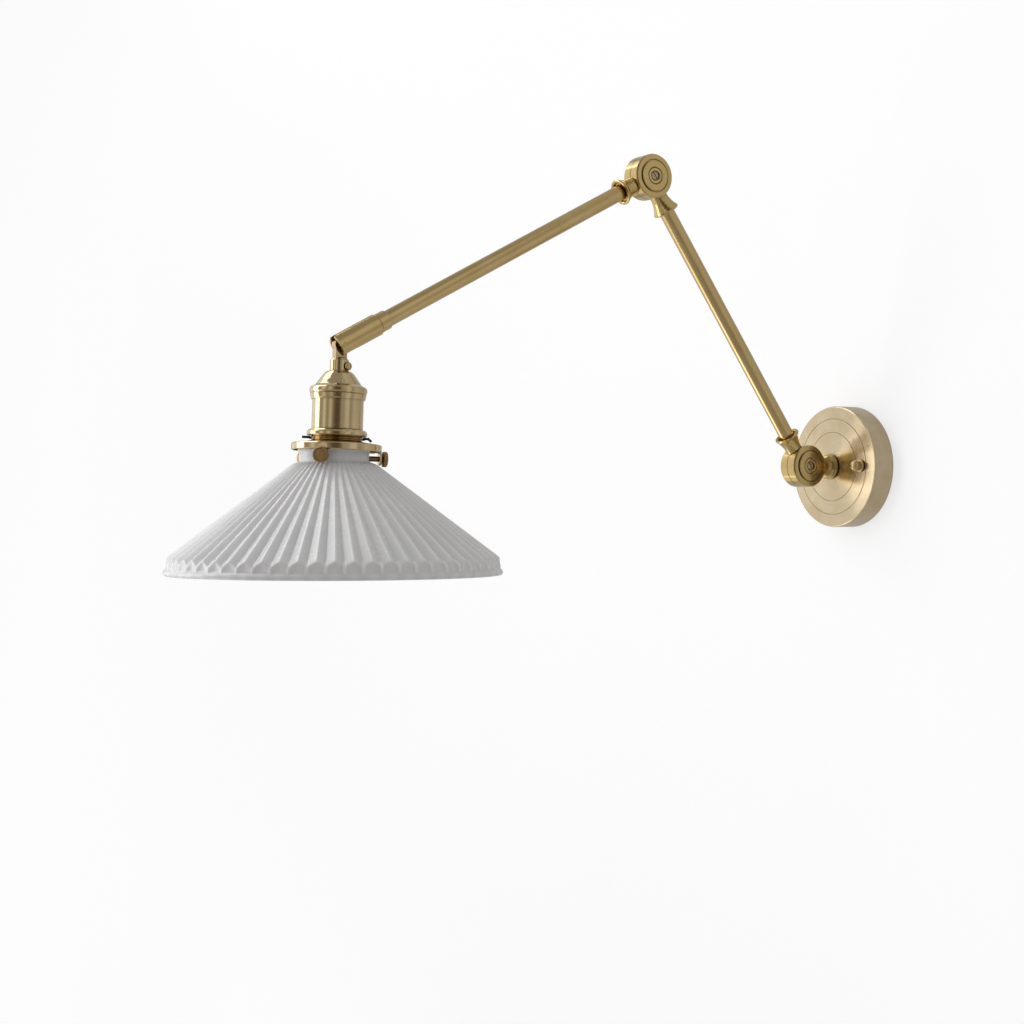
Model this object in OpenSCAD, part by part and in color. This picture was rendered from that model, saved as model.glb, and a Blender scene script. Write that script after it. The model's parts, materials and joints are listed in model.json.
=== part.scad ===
// Swing arm wall lamp with a pleated ceramic shade.
// Origin: centre of the wall plate's back, on the wall. +Z up, the wall is the
// plane Y = 0, the lamp reaches out along -Y, and both arms lie in the plane X = 0.
// All sizes in millimetres.

/* [Wall plate] */
// Outer diameter of the round wall plate
plate_d = 106.4; // [100:0.2:120]
// Depth of the plate's straight rim from the wall
plate_depth = 20.8; // [19:0.2:26]
// Height of the plate's shallow cone above the rim
plate_cone = 3; // [1:0.5:4]
// Distance between the two fixing studs
stud_pitch = 72; // [66:1:76]
// Distance between the two wall screw slots, centre to centre
screw_pitch = 50; // [46:1:52]

/* [Arms] */
// Outer diameter of the arm tubes
tube_d = 12.7; // [12:0.1:13]
// Distance from the wall to the first pivot
reach = 55.75; // [54:0.25:60]
// Lower arm, pivot to pivot
lower_len = 288.7; // [220:0.1:360]
// Upper arm, pivot to pivot
upper_len = 320.6; // [240:0.1:400]
// Lower arm's angle above the horizontal at rest
lower_angle = 54.66; // [40:0.1:80]
// Upper arm's fall below the horizontal at rest
upper_fall = 28.15; // [10:0.05:45]

/* [Knuckles] */
// Diameter of the round knuckles
knuckle_d = 36.2; // [34:0.1:38]
// Half width of a knuckle, to its outer ring
knuckle_half = 9.4; // [9:0.1:11]
// Thickness of the friction ring between the two halves
ring_gap = 0.6; // [0.4:0.1:1]
// Diameter of the collars' flared rim
collar_d = 21.6; // [20:0.1:23]

/* [Head] */
// Outer diameter of the slotted sleeve
sleeve_d = 16.8; // [16:0.1:17.4]
// Width of the slot that the tongue swings in
slot_w = 6.4; // [6.3:0.1:7]
// Lean of the lamp holder at rest, bottom away from the wall
lean = 2.2; // [0:0.1:4]
// Outer diameter of the lamp holder's body
holder_d = 38; // [37.8:0.1:38.6]

/* [Shade] */
// Diameter of the shade's rim
shade_d = 250; // [230:1:270]
// Number of pleats around the shade
pleats = 60; // [48:1:72]
// Depth of the pleats at the rim, measured vertically
pleat_depth = 3.7; // [1:0.1:4.5]
// Wall thickness of the shade, measured vertically
shade_wall = 3.7; // [3:0.1:5]

/* [Hidden] */
$fn = 64;

// colours as in the photograph
brass = [0.70, 0.58, 0.38];
pale_brass = [0.78, 0.69, 0.52];
dark_brass = [0.47, 0.36, 0.20];
steel = [0.62, 0.62, 0.63];
dark = [0.16, 0.13, 0.10];
white = [0.90, 0.90, 0.91];

// radii
tr = tube_d / 2;            // tube
kr = knuckle_d / 2;         // knuckle drum
cr = collar_d / 2;          // collar rim
pr = plate_d / 2;           // wall plate
hr = holder_d / 2;          // lamp holder body
sr = sleeve_d / 2;          // slotted sleeve
yf = -(plate_depth + plate_cone);   // the plate's front face at its centre
collar_len = 32.5;          // pivot to the collar's rim
tube_in = 21.5;             // pivot to the end of the tube inside its collar
neck_len = reach + yf - 0.8;        // wall pivot to the neck's rim, on the swivel washer

// joint centres, in the plane X = 0: [y, z]
wall_pivot = [-reach, 0];
elbow = [wall_pivot[0] - lower_len * cos(lower_angle), lower_len * sin(lower_angle)];
head = [elbow[0] - upper_len * cos(upper_fall), elbow[1] - upper_len * sin(upper_fall)];
// directions of the arms, as angles from +Y towards +Z
dir_neck = 0;
dir_lower = 180 - lower_angle;
dir_upper = 180 + upper_fall;

// ---- placing --------------------------------------------------------------

// puts the children's +Z along a direction in the plane X = 0
module along(p, a) translate([0, p[0], p[1]]) rotate([a - 90, 0, 0]) children();
// turns the children's Z axis to +X
module to_x() rotate([0, 90, 0]) children();
// turns the children's Z axis to -Y
module out() rotate([90, 0, 0]) children();
// the lamp holder's frame: origin in the tilt pivot, leaning at rest
module in_head() translate([0, head[0], head[1]]) rotate([-lean, 0, 0]) children();
// a ring or tube from its two radii, between two heights
module ring(ro, ri, z0, z1) translate([0, 0, z0]) difference() {
    cylinder(r = ro, h = z1 - z0);
    translate([0, 0, -1]) cylinder(r = ri, h = z1 - z0 + 2);
}
// a turned piece from its profile of [radius, height] points
module turned(pts) rotate_extrude() polygon(pts);
// a hexagon nut with chamfered corners; af is the width over its flats
module hex_nut(af, ri, z0, z1) difference() {
    intersection() {
        translate([0, 0, z0]) cylinder(r = af / sqrt(3), h = z1 - z0, $fn = 6);
        turned([[0, z0], [af / 2 - 0.1, z0], [af / sqrt(3), z0 + 0.5],
            [af / sqrt(3), z1 - 0.5], [af / 2 - 0.1, z1], [0, z1]]);
    }
    translate([0, 0, z0 - 1]) cylinder(r = ri, h = z1 - z0 + 2);
}

// ---- knuckles -------------------------------------------------------------

// one half of a half-lap knuckle, on the side X > 0, with its stem along +Z:
// a hollow drum with a raised boss, and a flared collar centred on the arm
function collar_profile(n, w, seat) = [
    [0, 14.9], [w, 14.9], [w, 19], [w + 0.25, 22], [w + 1, 25.2], [w + 2.1, n - 4.2],
    [cr - 0.5, n - 2.1], [cr, n - 1.5], [cr, n - 0.7], [cr - 0.4, n - 0.1],
    [cr - 0.8, n], [cr - 1.8, n - 0.15], [cr - 2.4, n - 0.8], [tr + 1.4, n - 2.8],
    [tr + 0.02, n - 2.8], [tr + 0.02, seat], [3.5, seat], [3.5, 14.9]];
module drum_half(n) {
    h = knuckle_half;
    b = h + 1.2;             // the boss stands proud of the ring
    g = ring_gap / 2;
    difference() {
        to_x() turned([[2.55, g], [5.2, g], [5.2, 5], [14.6, 5], [14.6, g], [kr, g],
            [kr, h - 1.3], [kr - 0.25, h - 0.7], [kr - 1.1, h], [13.7, h], [13.4, h - 0.7],
            [12.8, h - 0.7], [12.6, h], [12.6, b - 0.5], [12.1, b], [7.4, b], [7, b - 0.4],
            [7, b - 3.3], [2.55, b - 3.3]]);
        // where the lead leaves the drum
        translate([0, 0, 11]) cylinder(r = 3.5, h = 8);
    }
}
module half_knuckle(n, w, seat) {
    drum_half(n);
    difference() {
        rotate_extrude() polygon(concat([for (p = collar_profile(n, w, seat)) if (p[0] > 0) p]));
        // the other half's drum turns here
        translate([-40 + ring_gap / 2, 0, 0]) to_x() cylinder(r = kr + 0.35, h = 40);
        // beyond the drum's side the collar starts at its rim
        translate([knuckle_half - 1.3, 0, 0]) to_x() cylinder(r = kr - 0.3, h = 30);
    }
}
// the shoulder bolt of a knuckle, its slotted head in the front boss
module pivot_bolt() {
    b = knuckle_half + 1.2;
    to_x() difference() {
        union() {
            translate([0, 0, -b + 0.4]) cylinder(r = 2.5, h = 2 * b - 2.6);
            turned([[0, b - 2.3], [3.4, b - 2.3], [3.4, b - 1.0], [3.1, b - 0.7], [0, b - 0.45]]);
        }
        rotate([0, 0, 35]) translate([-5, -0.4, b - 1.2]) cube([10, 0.8, 3]);
    }
}
// the bush under the bolt's head, sunk in the front boss
module cup_washer() {
    b = knuckle_half + 1.2;
    to_x() turned([[2.55, b - 3.3], [6.6, b - 3.3], [6.6, b - 0.5], [6.2, b - 0.1], [4.5, b - 0.1],
        [4.0, b - 0.5], [4.0, b - 2.35], [2.55, b - 2.35]]);
}
module friction_ring() to_x() ring(17.0, 14.9, -ring_gap / 2, ring_gap / 2);
// lock nut in the back boss
module pivot_nut() {
    b = knuckle_half + 1.2;
    to_x() hex_nut(8, 2.5, -b + 0.6, -b + 3.3);
}
// an arm's inner lead in a knuckle: out of the stem and once round the hub
module knuckle_lead(side, from, turn) {
    translate([side * 1.95, 0, 0]) {
        translate([0, 0, 10.2]) cylinder(r = 1.25, h = from - 10.2, $fn = 24);
        translate([0, 0, 10.2]) sphere(r = 1.25, $fn = 24);
        to_x() rotate([0, 0, 180]) rotate_extrude(angle = turn) translate([10.2, 0]) circle(r = 1.25, $fn = 24);
    }
}

// ---- wall plate and what is behind it --------------------------------------

module wall_plate() color(pale_brass) difference() {
    out() {
        c = plate_depth;
        d = plate_cone;
        // outer skin: rim, rounded edge, cone with two fine grooves, flat seat
        turned([[pr - 1.5, 0], [pr, 0], [pr, c - 1.2], [pr - 0.35, c - 0.35], [pr - 1.2, c],
            [42.5, c + d * 0.24], [42.3, c + d * 0.24 - 0.35], [41.9, c + d * 0.24 - 0.35],
            [41.7, c + d * 0.26], [30.6, c + d * 0.56], [30.4, c + d * 0.56 - 0.35],
            [30.0, c + d * 0.56 - 0.35], [29.8, c + d * 0.58], [13.5, c + d],
            [5.06, c + d], [5.06, c + d - 1.5], [13.3, c + d - 1.5], [pr - 3, c - 1.9],
            [pr - 1.5, c - 3.4]]);
    }
    for (s = [-1, 1]) translate([s * stud_pitch / 2, -plate_depth - 6, 0])
        out() translate([0, 0, -9]) cylinder(r = 2.2, h = 12);
}
module mounting_crossbar() color(steel) difference() {
    intersection() {
        translate([-43, -2, -9]) cube([86, 2, 18]);
        out() translate([0, 0, -1]) cylinder(r = 42.5, h = 4);
    }
    // wire hole
    out() translate([0, 0, -1]) cylinder(r = 6.5, h = 4);
    // slots for the wall screws
    for (s = [-1, 1]) translate([s * screw_pitch / 2, 0, 0]) {
        for (e = [-3, 3]) translate([e, 0, 0]) out() translate([0, 0, -1]) cylinder(r = 2.25, h = 4);
        translate([-3, -3, -2.25]) cube([6, 4, 4.5]);
    }
    // tapped holes for the studs
    for (s = [-1, 1]) translate([s * stud_pitch / 2, 0, 0]) out() translate([0, 0, -1]) cylinder(r = 2, h = 4);
    // tapped hole for the earth screw
    translate([13, 0, 0]) out() translate([0, 0, -1]) cylinder(r = 2, h = 4);
}
module mounting_studs() color(steel) for (s = [-1, 1]) translate([s * stud_pitch / 2, 0, 0])
    out() turned([[0, 0.1], [1.7, 0.1], [2, 0.5], [2, plate_depth + 6.4], [1.6, plate_depth + 6.9], [0, plate_depth + 6.9]]);
module stud_lock_nuts() color(steel) for (s = [-1, 1]) translate([s * stud_pitch / 2, 0, 0])
    out() hex_nut(7, 2, 2, 5.2);
// height of the plate's face where the cap nuts stand
seat_y = plate_depth + plate_cone * 0.57;
module cap_nuts() color(brass) for (s = [-1, 1]) translate([s * stud_pitch / 2, 0, 0])
    out() turned([[2, seat_y + 0.05], [5.1, seat_y + 0.05], [5.3, seat_y + 0.4], [5.3, seat_y + 1.4], [5.0, seat_y + 1.7], [4.4, seat_y + 2],
        [4.4, seat_y + 5.6], for (a = [10:10:80]) [4.4 * cos(a), seat_y + 5.6 + 4.4 * sin(a)], [0, seat_y + 10],
        [0, seat_y + 6], [2, seat_y + 6]]);
module terminal_block() color(white) difference() {
    translate([-15, -15.5, -31]) cube([30, 13.4, 13]);
    for (i = [-1, 0, 1]) {
        // wire holes up and down, screw holes from the front
        translate([i * 9.6, -7.5, -32]) cylinder(r = 2.1, h = 16);
        translate([i * 9.6, -9.2, -24.5]) out() cylinder(r = 2.3, h = 9);
    }
    for (i = [-0.5, 0.5]) translate([i * 9.6 - 0.6, -16, -32]) cube([1.2, 4, 16]);
}
module terminal_screws() color(pale_brass) for (i = [-1, 0, 1]) translate([i * 9.6, 0, -24.5])
    out() difference() {
        turned([[0, 9.7], [1.6, 9.7], [1.6, 11.5], [2.1, 11.5], [2.1, 13.6], [0, 13.6]]);
        translate([-3, -0.3, 13]) cube([6, 0.6, 2]);
    }
module earth_screw() color([0.2, 0.5, 0.25]) translate([13, 0, 0])
    out() difference() {
        turned([[0, 0.2], [1.95, 0.2], [1.95, 2], [4.4, 2], [4.4, 2.8], [3.6, 2.8], [3.6, 4.4], [3.1, 4.9], [0, 5.1]]);
        translate([-5, -0.4, 4.2]) cube([10, 0.8, 2]);
    }
// two insulated leads from the terminal block up to the hollow nipple
module supply_leads() color([0.35, 0.25, 0.2]) for (s = [-1, 1]) {
    translate([s * 9.6, -7.5, -19.5]) cylinder(r = 1.3, h = 9.5, $fn = 24);
    translate([s * 9.6, -7.5, -10]) sphere(r = 1.3, $fn = 24);
    translate([s * 9.6, -7.5, -10]) rotate([0, 0, s > 0 ? 180 : 0]) rotate([0, 90, 0]) cylinder(r = 1.3, h = 8, $fn = 24);
    translate([s * 1.6, -7.5, -10]) sphere(r = 1.3, $fn = 24);
    translate([s * 1.6, -7.5, -10]) cylinder(r = 1.3, h = 10, $fn = 24);
    translate([s * 1.6, -7.5, 0]) sphere(r = 1.3, $fn = 24);
    translate([s * 1.6, -7.5, 0]) out() cylinder(r = 1.3, h = 4.5, $fn = 24);
}
module swivel_washer() color(dark) out() ring(9.6, 5.2, -yf, -yf + 0.8);

// ---- neck: swivels about the wall's normal ---------------------------------

module neck_knuckle() color(brass) along(wall_pivot, dir_neck)
    difference() {
        half_knuckle(neck_len, 8.4, 19.5);
        // tapped seat of the hollow nipple; its shoulder carries the washer
        translate([0, 0, 20]) cylinder(r = 5, h = 20);
    }
module swivel_nipple() color(pale_brass) out() difference() {
    turned([[3.5, 13.5], [4.7, 13.5], [5, 13.8], [5, reach - 20.2], [3.5, reach - 20.2]]);
}
module nipple_washer() color(steel) out() ring(9.5, 5.05, -yf - 2.5, -yf - 1.5);
module nipple_nut() color(steel) out() hex_nut(15, 5, -yf - 6.5, -yf - 2.5);
module neck_lead() color([0.35, 0.25, 0.2]) {
    along(wall_pivot, dir_neck) knuckle_lead(1, 34, -200);
    translate([1.95, 0, 0]) out() translate([0, 0, 15]) cylinder(r = 1.25, h = reach - 15 - 30, $fn = 24);
}
module wall_pivot_bolt() color(dark_brass) along(wall_pivot, 90) pivot_bolt();
module wall_cup_washer() color(brass) along(wall_pivot, 90) cup_washer();
module wall_friction_ring() color(dark) along(wall_pivot, 90) friction_ring();
module wall_pivot_nut() color(steel) along(wall_pivot, 90) pivot_nut();

// ---- lower arm --------------------------------------------------------------

module lower_arm_foot() color(brass) along(wall_pivot, dir_lower)
    mirror([1, 0, 0]) half_knuckle(collar_len, 7.1, tube_in);
module lower_arm_tube() color(brass) along(wall_pivot, dir_lower)
    ring(tr, tr - 1, tube_in + 0.1, lower_len - tube_in - 0.1);
module lower_arm_elbow() color(brass) along(elbow, dir_lower + 180)
    half_knuckle(collar_len, 7.1, tube_in);
module lower_arm_lead() color([0.35, 0.25, 0.2]) {
    along(wall_pivot, dir_lower) knuckle_lead(-1, 27, 200);
    along(elbow, dir_lower + 180) knuckle_lead(1, 27, -200);
    // sleeved pair inside the tube
    along(wall_pivot, dir_lower) translate([0, 0, 24]) cylinder(r = 2.2, h = lower_len - 48, $fn = 24);
}
module elbow_pivot_bolt() color(dark_brass) along(elbow, 90) pivot_bolt();
module elbow_cup_washer() color(brass) along(elbow, 90) cup_washer();
module elbow_friction_ring() color(dark) along(elbow, 90) friction_ring();
module elbow_pivot_nut() color(steel) along(elbow, 90) pivot_nut();

// ---- upper arm --------------------------------------------------------------

module upper_arm_elbow() color(brass) along(elbow, dir_upper)
    mirror([1, 0, 0]) half_knuckle(collar_len, 7.1, tube_in);
module upper_arm_tube() color(brass) along(head, dir_upper + 180)
    ring(tr, tr - 1, 37.6, upper_len - tube_in - 0.1);
// end collar of the tube, with the spigot that the slotted sleeve turns on
module swivel_collar() color(brass) along(head, dir_upper + 180)
    turned([[3.5, 22], [5.1, 22], [5.5, 22.4], [5.5, 27.6], [4.4, 28], [4.4, 31], [5.5, 31.4], [5.5, 35.3],
        [7.25, 35.3], [7.5, 35.6], [7.5, 43.6], [7.2, 44.1], [tr + 0.02, 44.3], [tr + 0.02, 37.5], [3.5, 37.5]]);
module upper_arm_lead() color([0.35, 0.25, 0.2]) {
    along(elbow, dir_upper) {
        knuckle_lead(-1, 27, 200);
        translate([0, 0, 24]) cylinder(r = 2.2, h = upper_len - 47, $fn = 24);
    }
}

// ---- slotted sleeve: turns about the upper arm's axis ------------------------

module tilt_sleeve() color(brass) along(head, dir_upper + 180) difference() {
    turned([[6.6, -3.5], [sr - 0.4, -3.5], [sr, -3.1], [sr, 34.5], [sr - 0.5, 35],
        [5.56, 35], [5.56, 20], [3.5, 20], [3.5, 15], [6.6, 13.5]]);
    // slot for the tongue, open at the end and on the underside, which is +Y here
    translate([-slot_w / 2, 0, -10]) cube([slot_w, 20, 22]);
    translate([-slot_w / 2, -20, -10]) cube([slot_w, 40, 9]);
    // tilt pin's holes
    translate([-20, 0, 0]) to_x() cylinder(r = 1.5, h = 40);
    // tapped hole for the set screw, on the underside
    translate([0, 0, 29.5]) rotate([-90, 0, 0]) cylinder(r = 1.5, h = 20);
}
module sleeve_set_screw() color(dark_brass) along(head, dir_upper + 180) translate([0, 0, 29.5])
    rotate([-90, 0, 0]) difference() {
        turned([[0, 4.65], [1.1, 4.65], [1.5, 5.1], [1.5, 8], [0, 8]]);
        translate([0, 0, 6.8]) cylinder(r = 0.75, h = 2, $fn = 6);
    }
module tilt_pin() color(dark_brass) translate([0, head[0], head[1]])
    to_x() turned([[0, -sr + 0.12], [1.5, -sr + 0.12], [1.5, sr - 0.12], [0, sr - 0.12]]);

// ---- lamp holder --------------------------------------------------------------

// heights below are measured from the tilt pivot
module tilt_tongue() color(brass) in_head() difference() {
    union() {
        // round eye and flat blade
        translate([-3, 0, 0]) to_x() cylinder(r = 5.4, h = 6);
        translate([-3, -4.6, -10.7]) cube([6, 9.2, 10.7]);
        // shoulder on the stem, and the threaded spigot inside it
        turned([[0, -11.2], [5.9, -11.2], [5.9, -10.4], [5.0, -9.8], [0, -9.8]]);
        translate([0, 0, -26.5]) cylinder(r = 4.95, h = 16);
    }
    translate([-10, 0, 0]) to_x() cylinder(r = 1.56, h = 20);
    // wire way: up through the spigot and out at the wall side
    translate([0, 0, -30]) cylinder(r = 2, h = 23);
    translate([-1.9, 0, -7.2]) cube([3.8, 8, 4]);
}
module tongue_nut() color(steel) in_head() hex_nut(14, 4.95, -26.2, -22.8);
module stem_set_screw() color(dark_brass) in_head() translate([0, 0, -16.3]) rotate([0, 0, 27]) to_x()
    difference() {
        turned([[0, 5.05], [1.5, 5.05], [1.5, 7.4], [3.0, 7.4], [3.15, 7.7],
            [3.15, 8.2], for (a = [15:15:75]) [3.15 * cos(a), 8.2 + 2.3 * sin(a)], [0, 10.5]]);
        translate([-4, -0.35, 9.6]) cube([8, 0.7, 2]);
    }
module holder_cap() color(brass) in_head() difference() {
    turned([[4.97, -11.2], [6.6, -11.2], [7, -11.6], [7, -19.75], [8.8, -20.1], [9.8, -20.7],
        [11.3, -22], [12.5, -23.6], [14.7, -26.6], [16.5, -29.3], [17.1, -30.1], [18.2, -30.8],
        [20.5, -31.9], [21.2, -32.8], [21.4, -33.9], [21.4, -35.2],
        [21.0, -36.3], [20.6, -36.7], [20.9, -37.1], [20.3, -40], [20, -41],
        [hr + 0.06, -41], [hr + 0.06, -34.4], [16.4, -33], [15.2, -31.2],
        [13.3, -28.2], [11.2, -25.2], [9, -23.4], [8.3, -22.8], [4.97, -22.8]]);
    translate([0, 0, -16.3]) rotate([0, 0, 27]) to_x() cylinder(r = 1.5, h = 12);
}
module holder_body() color(brass) in_head()
    // plain barrel above, threaded skirt for the ring nuts below
    turned(concat([[hr - 1.2, -34.6], [hr, -34.6], [hr, -63.1], [hr - 0.35, -63.5]],
        [for (i = [0:13]) each [[hr - 0.55, -63.8 - i * 1.2], [hr - 0.05, -64.4 - i * 1.2]]],
        [[hr - 0.6, -81.2], [hr - 1.9, -81.2], [hr - 1.9, -65], [hr - 1.2, -64]]));
module holder_core() color([0.93, 0.91, 0.86]) in_head() difference() {
    turned([[0, -37.5], [15.8, -37.5], [16.8, -38.5], [16.8, -80.2], [16.2, -80.8], [14.4, -80.8],
        [14.0, -80.2], [14.0, -51.5], [0, -51.5]]);
    // wire entry and the two terminal pockets
    translate([0, 0, -60]) cylinder(r = 1.6, h = 30);
    for (s = [-1, 1]) translate([s * 9.5 - 3.2, -4, -42.5]) cube([6.4, 8, 10]);
}
module screw_shell() color(pale_brass) in_head()
    turned([[13.3, -80], [13.95, -80], [13.95, -56], [13.3, -56]]);
module centre_contact() color(pale_brass) in_head() {
    turned([[0, -52.6], [3.2, -52.6], [3.2, -51.6], [0, -51.6]]);
    // spring tongue, bent down towards the lamp's foot
    translate([0, -2.5, -52.6]) rotate([0, 14, 0]) translate([0, 0, -0.5]) cube([9.5, 5, 0.6]);
}
module holder_terminals() color(pale_brass) in_head() for (s = [-1, 1]) translate([s * 9.5, 0, 0]) difference() {
    union() {
        translate([-2.9, -3.6, -42.4]) cube([5.8, 7.2, 2.4]);
        turned([[0, -40.1], [2.2, -40.1], [2.2, -38.4], [0, -38.4]]);
    }
    translate([-4, -0.3, -39]) cube([8, 0.6, 2]);
}
module holder_lead() color([0.35, 0.25, 0.2]) in_head() {
    translate([0, 0, -37]) cylinder(r = 1.25, h = 28, $fn = 24);
    for (s = [-1, 1]) {
        translate([0, 0, -36]) rotate([0, 90 * s, 0]) cylinder(r = 0.9, h = 9.5, $fn = 24);
        translate([s * 9.5, 0, -36]) sphere(r = 0.9, $fn = 24);
        translate([s * 9.5, 0, -38.3]) cylinder(r = 0.9, h = 2.3, $fn = 24);
    }
}
module ring_nut() color(brass) in_head()
    turned([[hr + 0.02, -63.6], [20.9, -63.6], [21.8, -64.5], [22.4, -65.5], [22.4, -67.5], [21.9, -68.1], [hr + 0.02, -68.1]]);
// the shade's holder: domed flange, rolled rim and three round lugs
lug_angles = [-44.5, 75.5, 195.5];
lug_z = -83.7;
module gallery() color(brass) in_head() difference() {
    union() {
        turned([[hr + 0.05, -72.4], [22.4, -72.4], [24.4, -72.8], [31.2, -73.6], [32.8, -73.9], [33.5, -74.6],
            [33.5, -78.5], [33.2, -79.1], [32.6, -79.3], [32.1, -78.8], [32.1, -75.4], [31.2, -75],
            [24.2, -74.2], [22.2, -73.8], [hr + 0.05, -73.8]]);
        for (a = lug_angles) rotate([0, 0, a]) translate([32.1, 0, lug_z]) to_x() {
            cylinder(r = 4.8, h = 1.4);
            translate([-8, -3.6, 0]) cube([8, 7.2, 1.4]);
        }
    }
    for (a = lug_angles) rotate([0, 0, a]) translate([25, 0, lug_z]) to_x() cylinder(r = 2.05, h = 12);
}
module gallery_nut() color(brass) in_head()
    turned([[hr + 0.02, -73.9], [21.1, -73.9], [21.4, -74.2], [21.4, -76.6], [21.1, -76.9], [hr + 0.02, -76.9]]);
// wire clip between the ring nut and the gallery: half round the back of the
// skirt, its two ends sprung out and the right one bent down
module retaining_clip() color(dark) in_head() translate([0, 0, -69.6]) {
    rotate([0, 0, 52]) rotate_extrude(angle = 196, $fn = 72) translate([20.4, 0]) circle(r = 1, $fn = 36);
    for (a = [52, 248]) rotate([0, 0, a]) translate([20.4, 0, 0]) {
        sphere(r = 1.06, $fn = 36);
        rotate([0, 90, 0]) cylinder(r = 0.94, h = a == 52 ? 3.2 : 5.4, $fn = 36);
        if (a == 52) translate([3.2, 0, 0]) {
            sphere(r = 1.06, $fn = 36);
            rotate([0, 130, 0]) cylinder(r = 0.94, h = 3.1, $fn = 36);
        }
    }
}

// ---- shade ---------------------------------------------------------------------

// the shade hangs level under the leaning holder: its axis, in the world
shade_drop = 4.9;           // its axis lies this far out from the tilt pivot
shade_y = head[0] - shade_drop;
// ridge line of the cone: height at a radius, before scaling to the rim
function ridge_z(r) = -8.9 - 0.752 * (r - 36.96);
function pleat(r) = pleat_depth * r / 122;
// rings of [ridge radius, ridge height, valley radius, valley height], from
// the neck's top down the outside, round the lip and up the inside
shade_rings = concat(
    [[24.4, 6.8, 24.4, 6.8], [26.5, 6.8, 26.5, 6.8], [27.2, 6.3, 27.2, 6.3], [27.2, 5.8, 27.2, 5.8], [26, 5.0, 26, 5.0],
        [26, -2.2, 26, -2.2], [27.3, -3.4, 27.3, -3.7]],
    [for (r = [31, 121.4]) [r, ridge_z(r), r, ridge_z(r) - pleat(r)]],
    [[122.6, -74.6, 122.6, -77.8], [122.4, -81.4, 123.1, -81.6],
        [124.3, -82.6, 124.3, -82.6], [125, -83.4, 125, -83.4], [125, -85.2, 125, -85.2],
        [124.4, -86.1, 124.4, -86.1], [123.0, -86.5, 123.0, -86.5],
        [120.2, -85.7, 120.2, -85.7], [119.4, -81.8, 119.6, -82.3]],
    [for (r = [116.5, 32]) [r, ridge_z(r) - shade_wall, r, ridge_z(r) - pleat(r) - shade_wall]],
    [[25.2, -6.6, 25.2, -7], [23.1, -4.3, 23.1, -4.3], [22.9, 5.6, 22.9, 5.6], [23.5, 6.6, 23.5, 6.6]]);
// widens a ring beyond the neck with the rim's size
function grown(r) = r <= 27.3 ? r : 27.3 + (r - 27.3) * (shade_d / 2 - 27.3) / (125 - 27.3);
module shade() color(white) {
    n = len(shade_rings);
    m = 2 * pleats;
    pts = [for (k = shade_rings) for (j = [0:m - 1])
        let (odd = j % 2, a = 3.8 + j * 360 / m, r = grown(odd ? k[2] : k[0]), z = odd ? k[3] : k[1])
        [r * cos(a), r * sin(a), z]];
    faces = [for (i = [0:n - 1]) for (j = [0:m - 1])
        let (i2 = (i + 1) % n, j2 = (j + 1) % m, a = i * m + j, b = i * m + j2, c = i2 * m + j2, d = i2 * m + j)
        each (j % 2 == 0 ? [[a, c, d], [a, b, c]] : [[a, b, d], [b, c, d]])];
    translate([0, shade_y, 0]) polyhedron(points = pts, faces = faces, convexity = 8);
}

// ---- thumbscrews ------------------------------------------------------------------

// shank with a clean tip, and a knob with a neck and a flat dished face
module thumbscrew(a) color(dark_brass) in_head() rotate([0, 0, a]) translate([0, 0, lug_z]) to_x()
    let (t = 26.35 - (shade_drop + lug_z * sin(lean)) * sin(a)) turned([[0, t], [1.3, t], [2, t + 0.7], [2, 33.9], [2.6, 34.1], [2.6, 34.6], [5.0, 34.9], [5.8, 35.5],
        [5.8, 37.7], [5.3, 38.4], [4.4, 38.4], [4.1, 37.9], [0, 37.9]]);
module thumbscrew_front() thumbscrew(lug_angles[0]);
module thumbscrew_right() thumbscrew(lug_angles[1]);
module thumbscrew_left() thumbscrew(lug_angles[2]);

wall_plate();
mounting_crossbar();
mounting_studs();
stud_lock_nuts();
cap_nuts();
terminal_block();
terminal_screws();
earth_screw();
supply_leads();
swivel_washer();
neck_knuckle();
swivel_nipple();
nipple_washer();
nipple_nut();
neck_lead();
wall_pivot_bolt();
wall_cup_washer();
wall_friction_ring();
wall_pivot_nut();
lower_arm_foot();
lower_arm_tube();
lower_arm_elbow();
lower_arm_lead();
elbow_pivot_bolt();
elbow_cup_washer();
elbow_friction_ring();
elbow_pivot_nut();
upper_arm_elbow();
upper_arm_tube();
swivel_collar();
upper_arm_lead();
tilt_sleeve();
sleeve_set_screw();
tilt_pin();
tilt_tongue();
tongue_nut();
stem_set_screw();
holder_cap();
holder_body();
holder_core();
screw_shell();
centre_contact();
holder_terminals();
holder_lead();
ring_nut();
gallery();
gallery_nut();
retaining_clip();
shade();
thumbscrew_front();
thumbscrew_right();
thumbscrew_left();
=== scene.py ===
import json
import math
import bpy
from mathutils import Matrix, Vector, noise


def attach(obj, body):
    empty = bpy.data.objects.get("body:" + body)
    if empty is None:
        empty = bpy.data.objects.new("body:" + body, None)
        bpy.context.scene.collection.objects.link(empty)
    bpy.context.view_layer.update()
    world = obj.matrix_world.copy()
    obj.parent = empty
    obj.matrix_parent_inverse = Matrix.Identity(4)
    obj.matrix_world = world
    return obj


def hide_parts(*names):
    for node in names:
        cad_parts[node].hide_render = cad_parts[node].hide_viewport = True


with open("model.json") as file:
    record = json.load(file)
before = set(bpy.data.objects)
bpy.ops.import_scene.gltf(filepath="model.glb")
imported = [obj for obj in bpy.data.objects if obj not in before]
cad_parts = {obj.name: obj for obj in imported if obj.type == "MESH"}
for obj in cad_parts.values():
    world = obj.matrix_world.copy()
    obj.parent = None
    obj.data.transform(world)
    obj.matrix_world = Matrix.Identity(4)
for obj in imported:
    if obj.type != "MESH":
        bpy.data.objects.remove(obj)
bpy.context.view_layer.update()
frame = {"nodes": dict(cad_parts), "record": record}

MM = 0.001
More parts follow.
